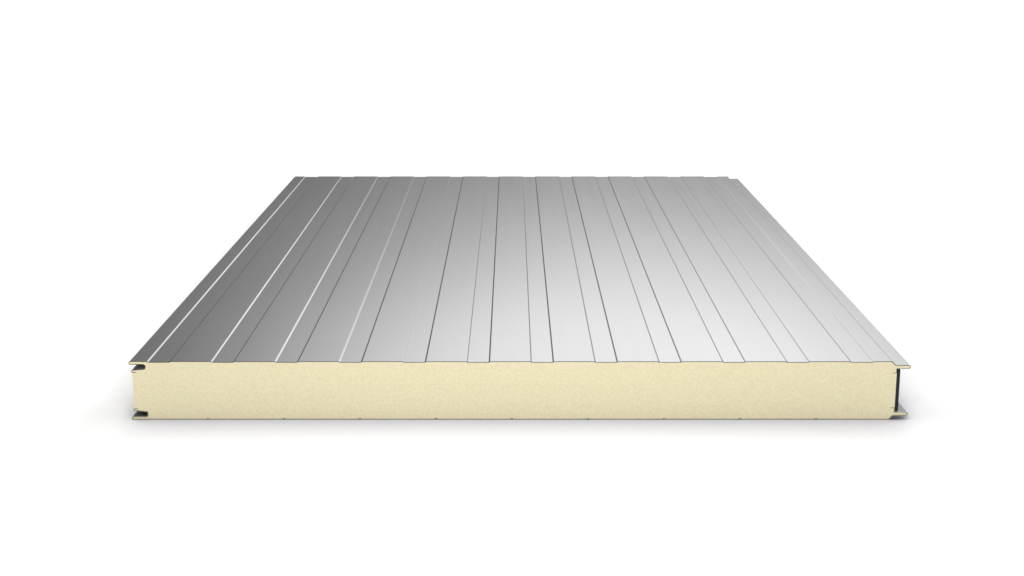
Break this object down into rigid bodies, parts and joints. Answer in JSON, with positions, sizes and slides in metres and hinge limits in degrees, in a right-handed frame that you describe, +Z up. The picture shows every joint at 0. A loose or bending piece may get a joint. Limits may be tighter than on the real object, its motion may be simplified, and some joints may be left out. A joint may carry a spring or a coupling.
{
  "type": "insulated sandwich panel",
  "caption": "Ribbed steel-faced building panel with a rigid foam core, two foam-filled tongues along one edge and two matching grooves along the other, lying ribbed face up",
  "frame": {"origin": "middle of the underside, halfway across the overall width with the tongues and halfway along the length", "axes": "+Z up out of the ribbed outer sheet, +Y along the length and the ribs, +X towards the tongue edge"},
  "size_m": [1.0204, 1.5, 0.08],
  "materials": {
    "outer_coating": "satin",
    "inner_coating": "satin",
    "rigid_foam": "matte",
    "gasket_foam": "matte"
  },
  "bodies": {
    "root": {"outer_sheet": "outer_coating", "inner_sheet": "inner_coating", "foam_core": "rigid_foam", "side_gasket": "gasket_foam"}
  },
  "joints": []
}
